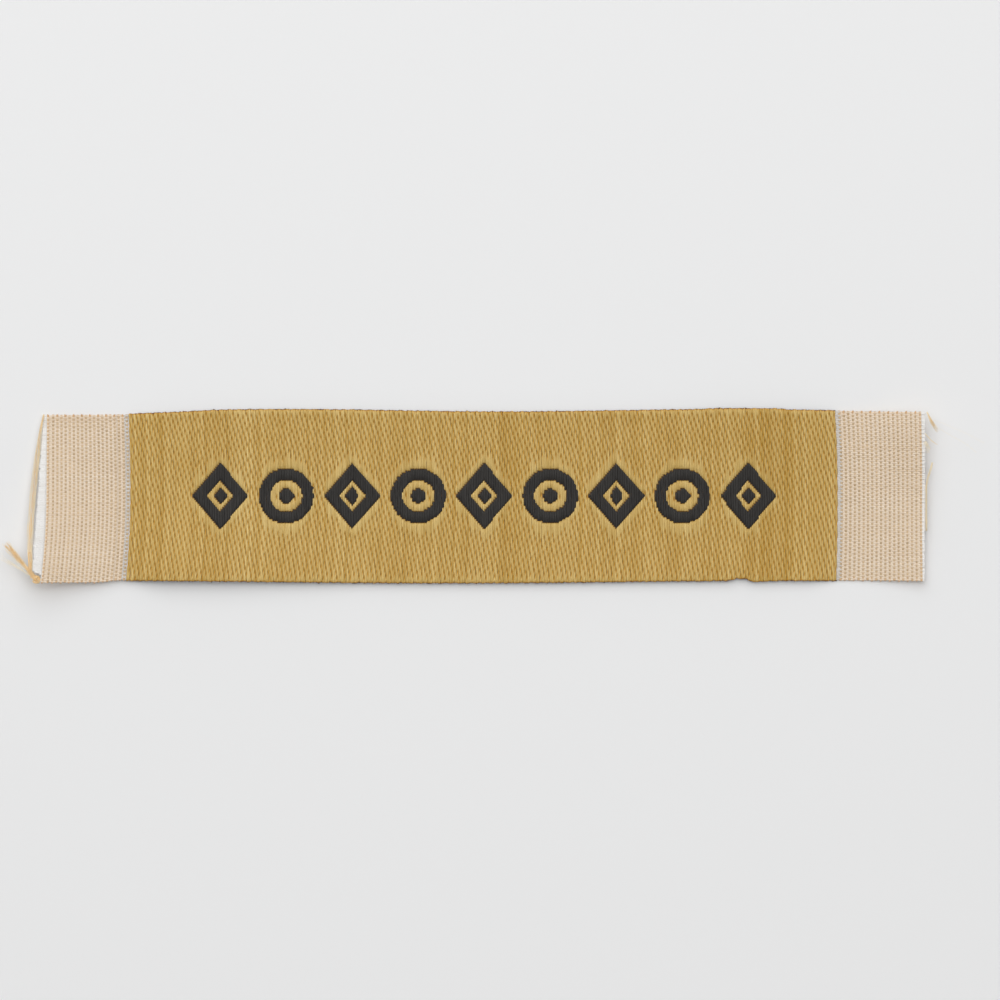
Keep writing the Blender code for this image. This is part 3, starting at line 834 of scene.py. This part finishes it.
def make_knot():
    """Small loops drawn tight at the corner, with filaments running through them."""
    threads = Threads(6)
    for _ in range(KNOT_LOOPS):
        turn = rng.uniform(0, 2 * math.pi) + np.linspace(0, 2 * math.pi * rng.uniform(0.55, 1.0), 20)
        size = rng.uniform(0.45, 1.0)
        around = size * np.column_stack([0.40 * np.cos(turn), 0.25 * np.sin(turn), 0.11 * np.sin(2 * turn)])
        angle = rng.uniform(0, math.pi)
        c, s = math.cos(angle), math.sin(angle)
        spun = [around[:, 0] * c - around[:, 1] * s, around[:, 0] * s + around[:, 1] * c, around[:, 2]]
        centre = np.array(KNOT) + rng.normal(0, 0.09, 3) * (1.0, 1.0, 0.6)
        threads.add((centre + np.column_stack(spun)) * MM, 0.085 * MM, 0.08 * MM,
                    0.5 + 0.25 * rng.normal(), rng.uniform(0.3, 0.9))
    joining = smooth_route([PULLED_WEFT[-2], PULLED_WEFT[-1], KNOT, BRUSH[0], BRUSH[1]], 6)
    filaments(threads, joining, 16, 0.20 * MM, 0.050 * MM, twist=0.6, mark=0.6)
    return threads.build("left_knot", [LOOSE])


def make_brush():
    """The cut end beyond the knot, whose filaments have fanned out."""
    threads = Threads(5)
    route = smooth_route(BRUSH)
    filaments(threads, route, 34, 0.44 * MM, 0.034 * MM, brush_spread, 0.10, 0.30, 0.6, 0.6, 0.26)
    filaments(threads, route, 18, 0.24 * MM, 0.040 * MM, brush_spread, 0.10, 0.80, 0.5, 0.8, 0.40)
    pale = smooth_route([KNOT, *PALE_SIDE])
    filaments(threads, pale, 13, 0.40 * MM, 0.024 * MM, brush_spread, 0.05, 0.0, 1.0, 0.5, 0.35)
    return threads.build("left_brush", [LOOSE])


def make_right_frays():
    """The frayed corner with two long hairs, a wisp with a tuft below it, and the stray weft."""
    fray, wisp, stray = Threads(5), Threads(5), Threads(5)
    route = smooth_route(CORNER_FRAY)
    filaments(fray, route, 26, 0.27 * MM, 0.031 * MM, fray_spread, 0.2, 0.15, 0.7, ragged=0.40)
    filaments(fray, route[:-8], 8, 0.14 * MM, 0.038 * MM, fray_spread, 0.2, 0.6, 0.5, ragged=0.3)
    for hair in (LONG_HAIR, SIDE_HAIR):
        filaments(fray, smooth_route([CORNER_FRAY[1], *hair]), 1, 0.01 * MM, 0.020 * MM, tone=0.9)
    filaments(wisp, smooth_route(WISP), 5, 0.08 * MM, 0.028 * MM, wisp_spread, ragged=0.3)
    filaments(wisp, smooth_route(TUFT), 17, 0.36 * MM, 0.026 * MM, tuft_spread, tone=0.9, ragged=0.6)
    filaments(stray, smooth_route(STRAY_WEFT), 10, 0.13 * MM, 0.034 * MM, stray_spread, 0.5)
    return (fray.build("right_fray", [LOOSE]), wisp.build("right_wisp_fibres", [LOOSE]),
            stray.build("right_stray_yarn", [LOOSE]))


# ---- Putting it together

def on_body(thing, body, slot, *nodes):
    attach(thing, body)
    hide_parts(*nodes)
    return thing


def make_field():
    ground = on_body(make_ground(), "field", "white_warp", "field_warp")
    groups = make_field_wefts()
    for name, threads in groups.items():
        if name.endswith("end_wefts"):
            piece = threads.build(name, [GOLD, BLACK])
            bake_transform(piece)
        elif name.startswith("gold"):
            piece = threads.build(name, [GOLD])
            on_body(piece, "field", "gold_weft", "gold_face", *nodes_of("back_figure_"))
        else:
            piece = threads.build(name, [BLACK])
            on_body(piece, "field", "black_weft", "black_back", *FIGURE_NODES)
    for edge, side in (("top", 1), ("bottom", -1)):
        piece = make_field_edge(f"field_{edge}_fused_line", side)
        on_body(piece, "field", "fused_edge", f"field_{edge}_edge")
    return ground


def make_side(side_name, end, fringe):
    fold, flap = f"{side_name}_fold", f"{side_name}_flap"
    inner = make_fold_inner(side_name, end)
    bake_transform(inner)
    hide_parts(f"{side_name}_fold_strip")
    outer = make_fold_outer(side_name, end)
    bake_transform(outer)
    warps, wefts = make_flap_cloth(side_name, end)
    on_body(warps, flap, "flap_cloth", f"{side_name}_flap_cloth")
    on_body(wefts, flap, "flap_cloth", f"{side_name}_flap_cloth")
    bare = make_fringe(side_name, end, *fringe)
    on_body(bare, flap, "white_warp", f"{side_name}_warp_fringe")
    for edge, side in (("top", 1), ("bottom", -1)):
        piece = make_flap_edge(f"{side_name}_flap_{edge}_blobs", end, side)
        on_body(piece, flap, "flap_edge", f"{side_name}_flap_{edge}_edge")


# ---- Floor, light and camera

FLOOR_REACH = 0.62                      # half the floor's side, in metres
FLOOR_COLOUR = (0.87, 0.87, 0.87, 1.0)
ROOM_COLOUR = (1.0, 0.96, 0.92, 1.0)
ROOM_FADE = (("From Min", 0.03), ("From Max", 0.40), ("To Min", 0.82), ("To Max", 0.20))
LAMP_COLOUR = (0.97, 0.985, 1.0)
LAMPS = (("softbox", (-0.10, 0.50, 0.66), 1.00, 5.4),   # name, place, side and power
         ("overhead", (0.05, 0.05, 1.30), 0.90, 5.6))
CAMERA_HEIGHT, VIEW_WIDTH = 0.90, 106.4 * MM
VIEW_CENTRE = (1.7 * MM, -0.43 * MM)
SENSOR_WIDTH = 36.0                     # in the camera's own millimetres


def make_floor():
    mesh = bpy.data.meshes.new("floor")
    corners = [(x * FLOOR_REACH, y * FLOOR_REACH, 0) for x, y in ((-1, -1), (1, -1), (1, 1), (-1, 1))]
    mesh.from_pydata(corners, [], [(0, 1, 2, 3)])
    floor = new_object("floor", mesh)
    material = bpy.data.materials.new("pale_floor")
    material.use_nodes = True
    shader = material.node_tree.nodes["Principled BSDF"]
    shader.inputs["Base Color"].default_value = FLOOR_COLOUR
    shader.inputs["Roughness"].default_value = 0.7
    shader.inputs["Specular IOR Level"].default_value = 0.2
    mesh.materials.append(material)


def make_light():
    """A pale room, brighter at the horizon than overhead, and two soft lamps."""
    world = bpy.data.worlds.new("soft_room")
    bpy.context.scene.world = world
    world.use_nodes = True
    background = world.node_tree.nodes["Background"]
    background.inputs["Color"].default_value = ROOM_COLOUR
    nodes, links = world.node_tree.nodes, world.node_tree.links
    direction = nodes.new("ShaderNodeTexCoord")
    height = nodes.new("ShaderNodeSeparateXYZ")
    fade = nodes.new("ShaderNodeMapRange")
    for socket, value in ROOM_FADE:
        fade.inputs[socket].default_value = value
    links.new(direction.outputs["Generated"], height.inputs["Vector"])
    links.new(height.outputs["Z"], fade.inputs["Value"])
    links.new(fade.outputs["Result"], background.inputs["Strength"])
    for name, place, size, power in LAMPS:
        lamp = bpy.data.lights.new(name, "AREA")
        lamp.shape = "SQUARE"
        lamp.size = size
        lamp.energy = power
        lamp.color = LAMP_COLOUR
        source = new_object(name, lamp)
        source.location = place
        source.rotation_euler = (-Vector(place)).to_track_quat("-Z", "Y").to_euler()


def make_camera():
    """Straight down, from so high up that there's little perspective."""
    lens_data = bpy.data.cameras.new("camera")
    camera = new_object("camera", lens_data)
    lens_data.sensor_width = SENSOR_WIDTH
    lens_data.lens = SENSOR_WIDTH * CAMERA_HEIGHT / VIEW_WIDTH
    camera.location = (*VIEW_CENTRE, CAMERA_HEIGHT)
    bpy.context.scene.camera = camera
    bpy.context.scene.view_settings.view_transform = "Standard"


make_camera()
make_light()
make_floor()
ground = make_field()
make_side("left", -1, LEFT_FRINGE)
make_side("right", 1, RIGHT_FRINGE)
on_body(make_pulled_weft(), "left_flap", "loose_weft", "left_pulled_weft")
on_body(make_knot(), "left_flap", "loose_weft", "left_thread_knot")
on_body(make_brush(), "left_flap", "loose_weft", "left_thread_brush")
for piece, node in zip(make_right_frays(), ("right_corner_fray", "right_wisp", "right_stray_weft")):
    on_body(piece, "right_flap", "loose_weft", node)
